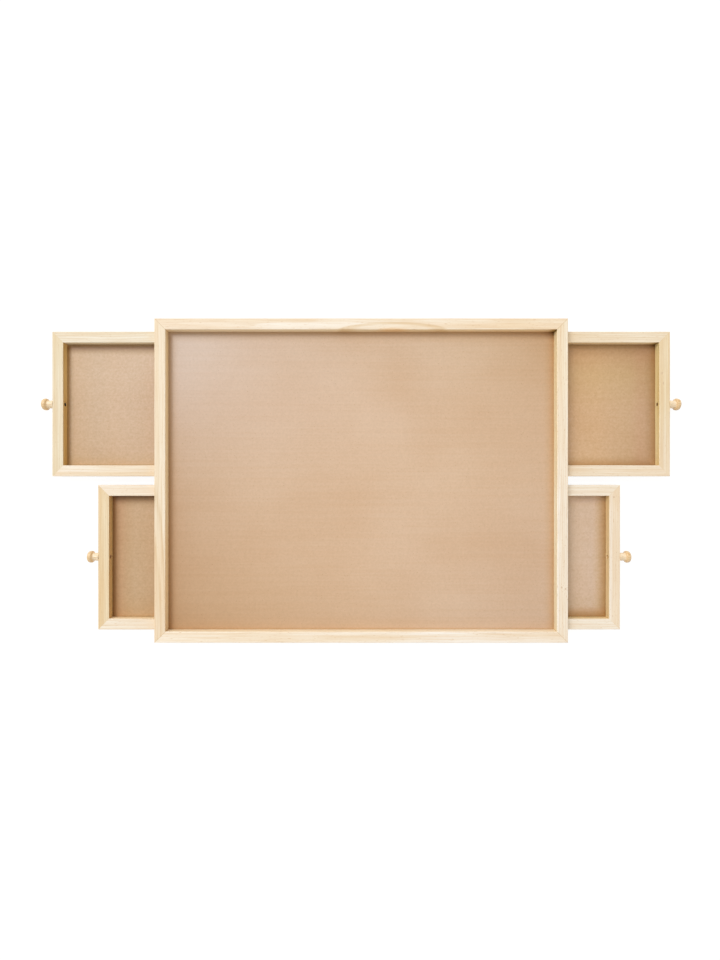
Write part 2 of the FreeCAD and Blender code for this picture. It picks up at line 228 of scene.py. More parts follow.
def seen_directly(tree):
    """1 for what the camera sees, straight, in gloss or through glass, and 0 for all other light."""
    ray = add(tree, "LightPath").outputs
    seen = add(tree, "Math", {0: ray["Is Camera Ray"], 1: ray["Is Glossy Ray"]}, operation="MAXIMUM")
    return add(tree, "Math", {0: seen, 1: ray["Is Transmission Ray"]}, operation="MAXIMUM")


bpy.ops.object.select_all(action="DESELECT")
bpy.ops.mesh.primitive_plane_add(size=FLOOR_SIDE, location=(0, 0, -FLOOR_DROP))
floor = bpy.context.object
floor.name = "floor"
bpy.ops.object.transform_apply(location=True, rotation=True, scale=True)

floor_material, tree = blank_material("painted_studio_floor")
own_share = add(tree, "Math", {0: seen_directly(tree), 1: FLOOR_OWN_WHITE}, operation="MULTIPLY")
lit = add(tree, "BsdfDiffuse", {"Color": FLOOR_PAINT})
own = add(tree, "Emission", {"Color": WHITE, "Strength": FLOOR_OWN_STRENGTH})
top_side = add(tree, "MixShader", {0: own_share, 1: lit, 2: own})
through = add(tree, "BsdfTransparent")
facing = add(tree, "NewGeometry")
both_sides = add(tree, "MixShader", {0: facing.outputs["Backfacing"], 1: top_side, 2: through})
add(tree, "OutputMaterial", {"Surface": both_sides})
floor.data.materials.append(floor_material)
print("floor:", FLOOR_SIDE, "m square")

# %% Fill with a white tent
TENT_SIDE = 1.20
TENT_TOP = 0.45
# how far up the side of the tent its bright band ends and its top begins, as the sine of the height
TENT_BAND = (0.15, 0.75)

world = bpy.data.worlds.new("white_room")
bpy.context.scene.world = world
world.use_nodes = True
tree = world.node_tree
tree.nodes.clear()
seen = seen_directly(tree)
sky = add(tree, "TexCoord")
towards = add(tree, "SeparateXYZ", {0: sky.outputs["Generated"]})
height = add(tree, "Math", {0: towards.outputs["Z"]}, operation="ABSOLUTE")
level = add(tree, "MapRange", {"Value": height, **span(*TENT_BAND, TENT_SIDE, TENT_TOP)},
            interpolation_type="SMOOTHSTEP")
fill = add(tree, "Background", {"Color": WHITE, "Strength": level})
backdrop = add(tree, "Background", {"Color": WHITE})
either = add(tree, "MixShader", {0: seen, 1: fill, 2: backdrop})
add(tree, "OutputWorld", {"Surface": either})
print("tent: sides", TENT_SIDE, "top", TENT_TOP)

# %% Hang the wide lamp behind the left corner
LAMP_TOWARDS = Vector((-0.58, 0.62, 1.0)).normalized()
LAMP_DISTANCE = 16.0
LAMP_SIDE = 7.5
LAMP_WATTS = 1400.0

lamp_data = bpy.data.lights.new("wide_lamp", "AREA")
lamp_data.shape = "SQUARE"
lamp_data.size = LAMP_SIDE
lamp_data.energy = LAMP_WATTS
lamp = bpy.data.objects.new("wide_lamp", lamp_data)
lamp.location = LAMP_TOWARDS * LAMP_DISTANCE
lamp.rotation_euler = LAMP_TOWARDS.to_track_quat("Z", "Y").to_euler()
bpy.context.scene.collection.objects.link(lamp)
print("lamp at", [round(v, 2) for v in lamp.location])

# %% [markdown]
# ## Pine, as it grows
# Pine is pale, and each year adds a ring: soft cream wood in spring that darkens towards a thin honey
# line in late summer, then starts again with a sharp edge. A rail is a stick cut out of those rings, so
# its faces show straight lines where the cut crosses the rings and long arches where it grazes them, and
# its ends show arcs. A flat picture of grain would not turn the corner. A solid pattern does: rings are
# drawn round the heart of the tree, which lies beside or below each rail, and the rail's faces cut them.
# The rings wander by a few millimetres over half a metre, or the arches would never appear, and good
# years are wider than bad ones, or the lines would look ruled.

# %% Measures of the wood
RING_GAP = 3.6 * MM
WANDER_ACROSS = 70 * MM
WANDER_ALONG = 420 * MM
WANDER = 14 * MM
YEARS_ACROSS = 13 * MM
YEARS_ALONG = 650 * MM
YEARS = 5 * MM
# a knot pushes the rings aside, in full at the first of these radii of its own, and no more at the second
KNOT_PUSH = 0.9 * RING_GAP
KNOT_PUSHES = (0.6, 4.0)
# how the tree's axis, Z, is laid along a rail
GRAIN_TURN = {"x": (0, math.pi / 2, 0), "y": (math.pi / 2, 0, 0)}
print("rings in a 24 mm rail:", round(24 * MM / RING_GAP, 1))


# %% Grow the rings
def growth_rings(tree, spot, grain, heart, knots):
    """The place in the tree, its good and bad years, its rings, and how far off each knot is."""
    turned = add(tree, "Mapping", {"Vector": spot, "Location": heart, "Rotation": GRAIN_TURN[grain]})
    wander = stretched_noise(tree, turned, (WANDER_ACROSS, WANDER_ACROSS, WANDER_ALONG), 2.0)
    # good and bad years: the rings crowd and spread, and the wood between them changes tone
    years = stretched_noise(tree, turned, (YEARS_ACROSS, YEARS_ACROSS, YEARS_ALONG), 1.0)
    bent = turned
    for noise, most in ((wander, WANDER), (years, YEARS)):
        bent = add(tree, "VectorMath", {0: noise.outputs["Color"], 1: (most, most, 0), 2: bent},
                   operation="MULTIPLY_ADD")

    # the grain flows round a knot: near it the rings are pushed aside
    eyes = [radii_from(tree, spot, centre, radii) for centre, radii in knots]
    for eye in eyes:
        push = add(tree, "MapRange", {"Value": eye, **span(*KNOT_PUSHES, 1.0, 0.0)},
                   interpolation_type="SMOOTHSTEP")
        bent = add(tree, "VectorMath", {0: push, 1: (KNOT_PUSH, KNOT_PUSH, 0), 2: bent},
                   operation="MULTIPLY_ADD")

    rings = add(tree, "TexWave", {"Vector": bent, "Scale": wave_scale(RING_GAP)},
                wave_type="RINGS", rings_direction="Z", wave_profile="SAW")
    return turned, years, rings, eyes


print("a knot pushes the rings aside by", round(KNOT_PUSH / MM, 2), "mm")

# %% [markdown]
# ## The colour of the wood
# Within a ring the colour climbs from spring wood to summer wood and drops back, clearly in some patches
# of a board and faintly in others. Over the rings lie fine fibres, short resin flecks and a slow change
# of tone. Where the saw only grazed a year's ring, its honey line opens into a long arch.

# %% Colour the wood
# a real fibre is 0.04 mm wide; it is drawn as coarse as it needs to be to show at all
FIBRE_WIDTH = 1.7 * MM
FIBRE_LENGTH = 70 * MM
# resin flecks are about 0.2 mm wide, and are drawn four times as wide for the same reason
FLECK_WIDTH = 0.8 * MM
FLECK_LENGTH = 9 * MM
TONE_PATCH = 160 * MM
# the least that the rings show, in the faintest patch
FAINTEST_RINGS = 0.30
# how much the good and bad years make an arch waver, in its own radii
ARCH_WAVE = 0.3


def wood_colour(tree, spot, turned, years, rings, wood_tones, arch):
    """The colour of the wood, and its fibres, which the gloss and the relief need as well."""
    spring, summer = wood_tones
    patches = add(tree, "TexNoise", {"Vector": turned, "Scale": 1 / TONE_PATCH, "Detail": 1.0})
    ring_tone = add(tree, "ValToRGB", {"Fac": rings.outputs["Fac"]}, stops=[
        (0.0, spring), (0.46, spring), (0.86, summer), (0.94, summer), (1.0, spring),
    ])
    clear = add(tree, "MapRange", {"Value": patches, **span(0.38, 0.62, FAINTEST_RINGS, 1.0)})
    colour = add(tree, "Mix", {SHARE: clear, UNDER: spring, OVER: ring_tone}, **LAY)
    colour = stained(tree, colour, years, [(0.34, "F9F1E5"), (0.60, WHITE)])
    if arch:
        centre, radii, arch_tones = arch
        away = radii_from(tree, spot, centre, radii)
        wavy = add(tree, "Math", {0: years, 1: ARCH_WAVE, 2: away}, operation="MULTIPLY_ADD")
        arched = add(tree, "Math", {0: wavy, 1: ARCH_WAVE / 2}, operation="SUBTRACT")
        colour = stained(tree, colour, arched, arch_tones)
    fibres = stretched_noise(tree, turned, (FIBRE_WIDTH, FIBRE_WIDTH, FIBRE_LENGTH), 4.0)
    flecks = stretched_noise(tree, turned, (FLECK_WIDTH, FLECK_WIDTH, FLECK_LENGTH), 1.0)
    colour = stained(tree, colour, fibres, [(0.30, "F6EFE6"), (0.62, WHITE)])
    colour = stained(tree, colour, flecks, [(0.68, WHITE), (0.76, "E2CBAA")])
    return stained(tree, colour, patches, [(0.32, "FAF3E8"), (0.66, WHITE)]), fibres


print("fibres drawn", FIBRE_WIDTH / MM, "mm wide, flecks", FLECK_WIDTH / MM, "mm")

# %% [markdown]
# ## Painted shade on a rail, and its end grain
# The upright faces get a painted shade, a little deeper than the upper faces, and those that look into
# a well get a painted shade of their own, which can change from the rim down to the foot. Painted shade
# deepens towards the rear right corner of some wells. End grain soaks up light and dust, so faces that
# look along the grain are darker still.

# %% Shade the faces
# how much of an inner face shows above the sheet in its well
WALL_SHOWN = 17 * MM
# how much of a face's normal points up, into the well or along the grain, where it begins to count as
# upright, inner or end grain, and where it counts in full
LOOKS_UP = (0.75, 0.25)
LOOKS_INWARD = (0.4, 0.8)
LOOKS_ALONG = (0.8, 1.0)
END_GRAIN = "D8B488"
END_PLACES = (0.15, 0.5, 0.85)
# painted shade that deepens towards the rear right corner of a well, darkest at the corner
CORNER_PAINTED_SHADE = [(0.0, "8A7434"), (0.18, "C4B286"), (0.38, "E0D6C0"), (0.6, "F2EDE5"), (1.0, WHITE)]


def painted_corner_shade(tree, spot, colour, corner, farthest, share=1.0):
    """Painted shade deepening a colour towards an upright corner, given as its place in plan, from so far
    away.
    """
    away = add(tree, "VectorMath", {0: spot, 1: corner}, operation="SUBTRACT")
    level = add(tree, "VectorMath", {0: away, 1: (1, 1, 0)}, operation="MULTIPLY")
    distance = add(tree, "VectorMath", {0: level}, operation="LENGTH")
    reach = add(tree, "MapRange", {"Value": distance, **span(0.0, farthest)})
    return stained(tree, colour, reach, CORNER_PAINTED_SHADE, share)


def shaded_faces(tree, spot, normal, colour, grain, ends, shades, inner):
    """A rail's colour, changed from end to end, with painted shade by which way each face looks."""
    place = add(tree, "SeparateXYZ", {0: spot})
    low_end, high_end, end_tones = ends
    far = add(tree, "MapRange", {"Value": place.outputs[grain.upper()], **span(low_end, high_end)})
    colour = stained(tree, colour, far, zip(END_PLACES, end_tones))

    # painted shade on upright faces, with a painted shade of their own, rim to foot, on those facing the
    # well
    lie = add(tree, "SeparateXYZ", {0: normal})
    upright = add(tree, "MapRange", {"Value": lie.outputs["Z"], **span(*LOOKS_UP)})
    outer_shade, inner_shades = shades
    inward, rim, corner, corner_shade_reach = inner
    inside = add(tree, "VectorMath", {0: normal, 1: inward}, operation="DOT_PRODUCT")
    inside = add(tree, "MapRange", {"Value": inside, **span(*LOOKS_INWARD)})
    climb = add(tree, "MapRange", {"Value": place.outputs["Z"], **span(rim - WALL_SHOWN, rim)})
    rim_shade, foot_shade = inner_shades[0], inner_shades[-1]
    inner_tone = add(tree, "ValToRGB", {"Fac": climb}, stops=[(0.0, foot_shade), (1.0, rim_shade)])
    shade = add(tree, "Mix", {SHARE: inside, UNDER: outer_shade, OVER: inner_tone}, **LAY)
    colour = add(tree, "Mix", {SHARE: upright, UNDER: colour, OVER: shade}, **STAIN)
    if corner_shade_reach:
        colour = painted_corner_shade(tree, spot, colour, corner, corner_shade_reach, inside)

    along = {"x": (1, 0, 0), "y": (0, 1, 0)}[grain]
    facing = add(tree, "VectorMath", {0: normal, 1: along}, operation="DOT_PRODUCT")
    end = add(tree, "Math", {0: facing}, operation="ABSOLUTE")
    end_share = add(tree, "MapRange", {"Value": end, **span(*LOOKS_ALONG)})
    return add(tree, "Mix", {SHARE: end_share, UNDER: colour, OVER: END_GRAIN}, **STAIN)


# how many steps the painted corner shade has
print("steps of corner dust:", len(CORNER_PAINTED_SHADE))

# %% [markdown]
# ## Mitres, pin knots and the bored well
# A mitre closes to a hairline that shows darker than either board. A pin knot is the foot of a twig: a
# brown dot with a paler eye. The screw of each knob sits in a well that is bored into the drawer's
# front, and painted shade darkens the wood of that well, near black in one drawer.

# %% Mark the joints, the knots and the well
MITRE_SEAM = 0.55 * MM
# the hairline is full to half its width from its middle, and gone at the second distance
SEAM_FADES = (0.5 * MITRE_SEAM, 1.6 * MITRE_SEAM)
WELL_RADIUS = 4.0 * MM
# the painted shade fades out just past the radius of the drill, and in just past the mouth of the well
WELL_SHADE_ENDS = (WELL_RADIUS + 0.1 * MM, WELL_RADIUS + 0.5 * MM)
WELL_SHADE_BEGINS = (0.2 * MM, 0.9 * MM)
PIN_KNOT = [(0.0, "D8BC9C"), (0.5, "CFAE8A"), (0.8, "C49F79"), (1.0, "E2C8A6")]
# a knot covers the wood by KNOT_COVER, and fades between these two of its own radii
KNOT_COVER = 0.6
KNOT_FADES = (0.7, 1.6)


def seamed(tree, spot, colour, mitre, seam_shade):
    """A colour with a hairline on the four diagonals of a frame of rails."""
    middle_x, middle_y, wider = mitre
    from_middle = add(tree, "Mapping", {"Vector": spot, "Location": (-middle_x, -middle_y, 0)})
    flipped = add(tree, "VectorMath", {0: from_middle}, operation="ABSOLUTE")
    sides = add(tree, "SeparateXYZ", {0: flipped})
    off = add(tree, "Math", {0: sides.outputs["X"], 1: sides.outputs["Y"]}, operation="SUBTRACT")
    from_seam = add(tree, "Math", {0: off, 1: wider}, operation="SUBTRACT")
    from_seam = add(tree, "Math", {0: from_seam}, operation="ABSOLUTE")
    seam = add(tree, "MapRange", {"Value": from_seam, **span(*SEAM_FADES, 1.0, 0.0)})
    return add(tree, "Mix", {SHARE: seam, UNDER: colour, OVER: seam_shade}, **STAIN)


def knotted(tree, colour, eyes):
    for away in eyes:
        knot = add(tree, "ValToRGB", {"Fac": away}, stops=PIN_KNOT)
        inside = add(tree, "MapRange", {"Value": away, **span(*KNOT_FADES, KNOT_COVER, 0.0)})
        colour = add(tree, "Mix", {SHARE: inside, UNDER: colour, OVER: knot}, **LAY)
    return colour


# painted shade on the wall of a bored well, from its mouth inwards
def shaded_well(tree, spot, colour, mouth, well_shade_tone):
    from_mouth = add(tree, "Mapping", {"Vector": spot, "Location": tuple(-mouth)})
    across = add(tree, "VectorMath", {0: from_mouth, 1: (0, 1, 1)}, operation="MULTIPLY")
    away = add(tree, "VectorMath", {0: across}, operation="LENGTH")
    on_wall = add(tree, "MapRange", {"Value": away, **span(*WELL_SHADE_ENDS, 1.0, 0.0)})
    inward = add(tree, "SeparateXYZ", {0: from_mouth})
    depth = add(tree, "Math", {0: inward.outputs["X"]}, operation="ABSOLUTE")
    deep = add(tree, "MapRange", {"Value": depth, **span(*WELL_SHADE_BEGINS)})
    well_shade_share = add(tree, "Math", {0: on_wall, 1: deep}, operation="MULTIPLY")
    return add(tree, "Mix", {SHARE: well_shade_share, UNDER: colour, OVER: well_shade_tone}, **LAY)


print("mitre seams", MITRE_SEAM / MM, "mm, wells", 2 * WELL_RADIUS / MM, "mm across")

# %% [markdown]
# ## A board of planed pine
# The boards were planed and sanded and left bare, so the gloss is low and follows the rings: summer wood
# is denser and a little shinier than spring wood. Rings and fibres stand out by about a tenth of a
# millimetre, which a bump shows without a change to the mesh.

# %% Plane a board
PINE_IOR = 1.47
# of spring wood and of summer wood
PINE_ROUGHNESS = (0.62, 0.48)
PINE_RELIEF = 0.15 * MM
PINE_RELIEF_STRENGTH = 0.16


def planed_pine(name, grain, heart, wood_tones, ends, shades, inner, seam, arch, knots, bore):
    material, tree, spot, normal = solid_material(name)
    turned, years, rings, eyes = growth_rings(tree, spot, grain, heart, knots)
    colour, fibres = wood_colour(tree, spot, turned, years, rings, wood_tones, arch)
    colour = shaded_faces(tree, spot, normal, colour, grain, ends, shades, inner)
    if seam:
        colour = seamed(tree, spot, colour, *seam)
    colour = knotted(tree, colour, eyes)
    if bore:
        colour = shaded_well(tree, spot, colour, *bore)
    gloss = add(tree, "MapRange", {"Value": rings.outputs["Fac"], **span(0, 1, *PINE_ROUGHNESS)})
    relief = add(tree, "Math", {0: rings.outputs["Fac"], 1: fibres}, operation="ADD")
    bump = add(tree, "Bump", {"Height": relief, "Strength": PINE_RELIEF_STRENGTH, "Distance": PINE_RELIEF})
    shader = add(tree, "BsdfPrincipled", {
        "Base Color": colour, "Roughness": gloss, "IOR": PINE_IOR, "Normal": bump,
    })
    add(tree, "OutputMaterial", {"Surface": shader})
    return material


print("roughness of spring wood and summer wood:", PINE_ROUGHNESS)

# %% [markdown]
# ## Choosing a board for every rail
# No two rails are cut from the same place in a tree, and a frame whose rails repeat one another looks
# false at once. Each rail gets its own material: the heart of its tree lies at its own distance and
# angle, drawn from one seeded list so that every run chooses the same boards. The grain runs along the
# rail's longest side. Two rails are chosen one by one, and three get a pin knot or two. Boards differ in
# tone as well: out of one stack come pale ones and honey-coloured ones, so each rail that shows has a
# share of honey, and its spring and summer wood are mixed from the two ends. It also has a painted shade
# for the face that looks into the well. Where that face changes on its way down to the sheet, its foot
# has a painted shade of its own.

# %% Look through the stack
PALE_BOARD = ("FEF7EC", "F8EBD8")
HONEY_BOARD = ("F6E8CE", "ECDABA")
FRAME_SEAM = "E6D9C2"
DRAWER_SEAM = "FBF7F0"
# each visible rail: how far its board is on the way from pale to honey, and the painted shade of its
# inner face, where a second painted shade is for the foot of that face
BOARDS = {
    "frame_rail_rear": (0.00, "F8F0DA"),
    "frame_rail_left": (0.60, "FFF6DE"),
    "frame_rail_right": (0.12, "EEEFDC", "F7F8E8"),
    "frame_rail_front": (-0.20, "F8F6EB"),
    "drawer_rear_left_front": (1.00, "E0C58C", "FFE6AE"),
    "drawer_rear_left_side_outer": (0.50, "FFFAEC"),
    "drawer_rear_left_side_inner": (0.28, "F4EAC8"),
    "drawer_front_left_front": (1.34, "E6D2AC", "FFEFC8"),
    "drawer_front_left_side_inner": (0.00, "F4EAC8"),
    "drawer_front_left_side_outer": (0.20, "FFFAE8"),
    "drawer_rear_right_front": (0.67, "EEEECC", "FFFFE6"),
    "drawer_rear_right_side_outer": (0.80, "FFF8E4"),
    "drawer_rear_right_side_inner": (0.20, "F4EAC8"),
    "drawer_front_right_front": (0.06, "EBE0BE", "FEF4D2"),
    "drawer_front_right_side_inner": (0.38, "FFFFF4"),
    "drawer_front_right_side_outer": (0.26, "F4EAC8"),
}
# the share of honey and inner painted shade of rails that do not show, and the outer painted shade
HIDDEN_BOARD = (1.3, "F8F0DA")
OUTER_SHADE = "F8F0DA"
# some rails change tone from their low end over their middle to their high end
END_TONES = {
    "frame_rail_rear": ("FEFDFC", "FFFEFB", "FBF1E1"),
    "frame_rail_left": ("FEF9F3", "FFFEFC", WHITE),
    "frame_rail_right": (WHITE, WHITE, "FFFDF6"),
    "frame_rail_front": ("FFFCF5", "FFFEFB", WHITE),
    "drawer_rear_right_front": (WHITE, "FCFAF0", "FCF9EE"),
    "drawer_rear_left_front": ("FAFDFD", "FAFDFF", "F9FEFF"),
    "drawer_rear_left_side_outer": ("F9FDFF", "F9FDFF", "F9FDFF"),
}


def mixed_board(share):
    """Spring and summer wood of a board, so far on the way from pale to honey."""
    return tuple(
        tuple(p + (h - p) * share for p, h in zip(linear(pale), linear(honey)))
        for pale, honey in zip(PALE_BOARD, HONEY_BOARD)
    )


print("boards chosen:", len(BOARDS))

# %% Mark what is chosen one by one
# how far the tree's heart lies, in which direction, and where along the tree the rail was cut
CHOSEN = {
    "frame_rail_rear": (50 * MM, math.radians(66), 0.35),
    "drawer_rear_right_side_inner": (96 * MM, math.radians(30), 1.9),
}
# the arches in two rails: middle, radii, and tones from the middle outwards
ARCHES = {
    "frame_rail_rear": ((0.068, 0.323, 0.051), (122 * MM, 18 * MM, 60 * MM), [
        (0.0, "FAE6CE"), (0.20, "FBEBD8"), (0.36, WHITE), (0.64, WHITE),
        (0.82, "F4EBDC"), (0.92, "F2E8D8"), (1.02, WHITE),
    ]),
    "frame_rail_left": ((-0.445, -0.342, 0.051), (29 * MM, 370 * MM, 60 * MM), [
        (0.40, WHITE), (0.52, "F6F0E6"), (0.62, WHITE), (0.74, WHITE), (0.85, "F3EBDF"), (0.95, WHITE),
    ]),
}
# the middle and the radii of each pin knot
PIN_KNOTS = {
    "drawer_front_right_front": [((0.5537, -0.0362, 0.0273), (1.7 * MM, 1.9 * MM, 6 * MM))],
    "drawer_rear_right_front": [
        ((0.6593, 0.2352, 0.0273), (1.3 * MM, 3.0 * MM, 6 * MM)),
        ((0.6622, 0.2133, 0.0273), (1.2 * MM, 3.2 * MM, 6 * MM)),
    ],
    "frame_rail_right": [
        ((0.4306, -0.2295, 0.0510), (1.6 * MM, 1.9 * MM, 8 * MM)),
        ((0.4390, -0.2325, 0.0510), (1.6 * MM, 1.9 * MM, 8 * MM)),
    ],
}
# how far painted shade reaches along an inner face from the rear right corner of its well
CORNER_SHADE_REACH = {
    "frame_rail_rear": 24 * MM,
    "frame_rail_right": 8 * MM,
    "drawer_rear_right_side_outer": 24 * MM,
}
# the painted shade in the bored well of each drawer: near black in one, the others less and less
WELL_PAINTED_SHADE = {
    "drawer_rear_left": "0E0704",
    "drawer_rear_right": "A87A3C",
    "drawer_front_left": "D29C68",
    "drawer_front_right": "D9B072",
}
print("rails with arches:", len(ARCHES), "with knots:", len(PIN_KNOTS))


# %% Find the way round a frame of rails
def drawer_of(name):
    """The drawer that a piece belongs to: the first three words of its name."""
    return "_".join(name.split("_")[:3])


def outline_of(rails):
    """The box round some rails, as its low and its high corner."""
    lows, highs = zip(*(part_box(rail) for rail in rails))
    return Vector(map(min, *lows)), Vector(map(max, *highs))


def well_between(rails):
    """The well between four rails, as its low and its high corner in plan."""
    well_low, well_high = outline_of(rails)
    well_low.z = well_high.z = 0
    middle = (well_low + well_high) / 2
    for low, high in (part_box(rail) for rail in rails):
        across = 0 if high.x - low.x < high.y - low.y else 1
        if high[across] < middle[across]:
            well_low[across] = high[across]
        else:
            well_high[across] = low[across]
    return well_low, well_high


def mitre_of(low, high):
    """The middle of a frame, and how much longer its X side is than its Y side, in halves."""
    middle = (low + high) / 2
    return (middle.x, middle.y, (high.x - low.x) / 2 - (high.y - low.y) / 2)


def heart_of_tree(grain, middle, distance, angle, slide):
    beside = distance * math.cos(angle)
    below = -distance * math.sin(angle)
    if grain == "x":
        return (-(middle.z + below), -(middle.y + beside), slide)
    return (-(middle.x + beside), middle.z + below, slide)


FRAME_RAILS = ["frame_rail_" + side for side in ("left", "front", "right", "rear")]
drawers = sorted(body for body in frame["bodies"] if body.startswith("drawer_"))
print("drawers:", drawers)

# %% Cut the boards
BOARD_SEED = 24
# the range of what is drawn: how far off the heart lies, at which angle, and where the tree was cut
HEART_FAR, HEART_ANGLE, CUT_AT = (45, 110), (8, 62), (-3, 3)

board_dice = random.Random(BOARD_SEED)
frame_pine = [n for n in sorted(nodes) if n.startswith(("frame_rail", "centre_spine", "cross_beam"))]
frame_pine += [n for n in sorted(nodes) if n.startswith("runner_") and n != "runner_screws"]
drawer_pine = [drawer + rail for drawer in drawers for rail in ("_back", "_side_inner", "_side_outer")]
drawer_pine += [drawer + "_front" for drawer in drawers]

for name in frame_pine + drawer_pine:
    low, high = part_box(name)
    size = high - low
    grain = "x" if size.x > size.y else "y"
    distance = board_dice.uniform(*HEART_FAR) * MM
    angle = math.radians(board_dice.uniform(*HEART_ANGLE))
    slide = board_dice.uniform(*CUT_AT)
    distance, angle, slide = CHOSEN.get(name, (distance, angle, slide))
    heart = heart_of_tree(grain, (low + high) / 2, distance, angle, slide)

    seam = bore = None
    whole_low, whole_high = outline_of(("frame_rail_rear", "frame_rail_front"))
    if name in drawer_pine:
        drawer = drawer_of(name)
        whole_low, whole_high = outline_of((drawer + "_front", drawer + "_back"))
        seam = mitre_of(whole_low, whole_high), DRAWER_SEAM
        if name.endswith("_front"):
            knob_low, knob_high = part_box(drawer + "_knob")
            mouth = (knob_low + knob_high) / 2
            mouth.x = low.x if low.x > 0 else high.x
            bore = mouth, WELL_PAINTED_SHADE[drawer]
    elif name in FRAME_RAILS:
        seam = mitre_of(whole_low, whole_high), FRAME_SEAM

    across = Vector((0, 1, 0)) if grain == "x" else Vector((1, 0, 0))
    inward = across if (low + high).dot(across) < (whole_low + whole_high).dot(across) else -across
    thick = min(size.x, size.y)
    corner = Vector((whole_high.x - thick, whole_high.y - thick, 0))
    honey_share, *inner_shades = BOARDS.get(name, HIDDEN_BOARD)
    axis = "xyz".index(grain)
    board = planed_pine(
        "planed_pine_" + name, grain, heart, mixed_board(honey_share),
        ends=(low[axis], high[axis], END_TONES.get(name, (WHITE,) * 3)),
        shades=(OUTER_SHADE, inner_shades),
        inner=(inward, high.z, corner, CORNER_SHADE_REACH.get(name)),
        seam=seam, arch=ARCHES.get(name), knots=PIN_KNOTS.get(name, ()), bore=bore)
    dress(name, board)
print("boards cut:", len(frame_pine), "for the frame and", len(drawer_pine), "for the drawers")

# %% [markdown]
# ## Hardboard
# The work surface and the drawer bottoms are 3 mm hardboard: wood fibres steamed, pulped and pressed
# hot between a polished plate and a wire screen. The upper face comes out smooth, brown and a little
# shiny, with soft clouds, faint streaks along the roll and fine flecks of darker fibre. Over that lie a
# slow painted drift of light and shade from corner to corner, and painted shade along the margins against
# the rails and in the rear right corner of some wells. The lower face keeps the print of the screen.
# One solid material does both: the face's own normal says which side it is.

# %% Sort the sheets
SURFACE_BOARD = ("E5CFC0", "DCC6B5")
# the four drawer bottoms were cut from different sheets
DRAWER_BOARDS = {
    "drawer_rear_left": ("DBC2AA", "CDB294"),
    "drawer_rear_right": ("DFBC96", "D2AC81"),
    "drawer_front_left": ("D6B897", "C8A884"),
    "drawer_front_right": ("E1C7B2", "D4B89B"),
}
# the painted shade of a margin, from the wall of the well inwards
MARGIN = 22 * MM
SURFACE_MARGIN_SHADE = [(0.0, "E6D7BD"), (0.14, "ECE0CC"), (0.30, "F3EBDF"), (0.52, "F9F5EE"), (1.0, WHITE)]
DRAWER_MARGIN_SHADE = [
    (0.0, "A8966E"), (0.12, "C9BDA1"), (0.24, "DDD4BE"), (0.44, "EBE5D8"), (0.66, "F5F3EC"), (1.0, WHITE),
]
# how fast the margin's painted shade clears and how far it has cleared at the wall: off the left
# and the front wall, then off the right and the rear wall
SURFACE_CLEARS = ((1.0, 5.0), (0, 0)), ((1.0, 0.92), (0, 0))
DRAWER_CLEARS = {
    "drawer_rear_left": (((1.0, 5.0), (4 * MM, 3 * MM)), ((1.0, 0.75), (3 * MM, 1.5 * MM))),
    "drawer_rear_right": (((1.0, 0.8), (3 * MM, 3 * MM)), ((0.75, 0.70), (3 * MM, 2 * MM))),
    "drawer_front_left": (((1.0, 5.0), (3 * MM, 3 * MM)), ((1.0, 0.75), (3 * MM, 0))),
    "drawer_front_right": (((1.0, 0.8), (3 * MM, 3 * MM)), ((0.75, 3.0), (3 * MM, 12 * MM))),
}
# how far painted shade reaches from the rear right corner of a sheet
SHEET_CORNER_SHADE_REACH = 24 * MM
print("margins reach", MARGIN / MM, "mm in from the walls")

# %% Follow their painted drift of light and shade
# painted light and shade over a sheet from left to right, from front to rear, and between its two
# pairs of corners
SURFACE_PAINTED_DRIFT = (
    [(0.0, "EFECE9"), (0.25, "FAF9F8"), (0.5, WHITE), (0.75, "FFFFFE"), (1.0, "FAF8F5")],
    [(0.0, "F6EEE1"), (0.25, "FCF7EF"), (0.5, "FFFDF9"), (0.75, WHITE), (1.0, "FCFEFF")],
    [(0.0, WHITE), (0.5, "F8EEDD"), (1.0, "F0DEBF")],
)
# each drawer's painted drift of its own, whose stops near the walls paint shade and light at their feet
DRAWER_PAINTED_DRIFT = {
    "drawer_rear_left": (
        [
            (0.003, "FFEFCC"), (0.010, "FFFAE6"), (0.017, WHITE), (0.024, "FFFEF6"),
            (0.04, "F9F2E4"), (0.17, "F8F5EE"), (0.27, "FDFAF5"), (0.39, WHITE),
        ],
        [
            (0.04, "FAF5E9"), (0.12, "FDF8F2"), (0.50, "FAF5F0"), (0.92, WHITE),
            (0.95, "E9E2D8"), (0.967, "D6C4B0"), (0.980, "DACBB9"), (0.992, WHITE),
        ],
    ),
    "drawer_rear_right": (
        [(0.66, WHITE), (0.75, "F9FAFC"), (0.85, "F2F2F2"), (0.91, "EEE8EA"), (0.96, "EAE5E6")],
        [
            (0.45, WHITE), (0.75, "F8F7E8"), (0.89, "F1E8D8"), (0.93, "EAE0D1"),
            (0.95, "EEE6DA"), (0.965, "EEE6D8"), (0.985, "FFFFFA"),
        ],
    ),
    "drawer_front_left": (
        [(0.01, "E4D0B8"), (0.05, "FAEEE5"), (0.09, "FCF8F2"), (0.13, WHITE)],
        [
            (0.06, "F7F1E2"), (0.20, "F9F7F0"), (0.63, "F9F6EF"), (0.92, WHITE),
            (0.948, "EFEDEC"), (0.967, "DED5C8"),
        ],
    ),
    "drawer_front_right": (
        [(0.76, "FFFFF6"), (0.84, "FFFEFB"), (0.92, WHITE), (0.95, "FFFCF4"), (0.985, "F5EBD6")],
        [
            (0.03, "ECDEC6"), (0.055, "F7EEE4"), (0.10, "FAFAF6"), (0.20, WHITE),
            (0.93, WHITE), (0.955, "F4F0EF"), (0.97, WHITE),
        ],
    ),
}
print("drawers with a drift of their own:", len(DRAWER_PAINTED_DRIFT))

# %% Pulp, clouds and streaks
SPECK = 4.2 * MM
CLOUD = 280 * MM
ROLL_STREAK = 5 * MM
ROLL_STREAK_LENGTH = 260 * MM
BIT_GAP = 7 * MM


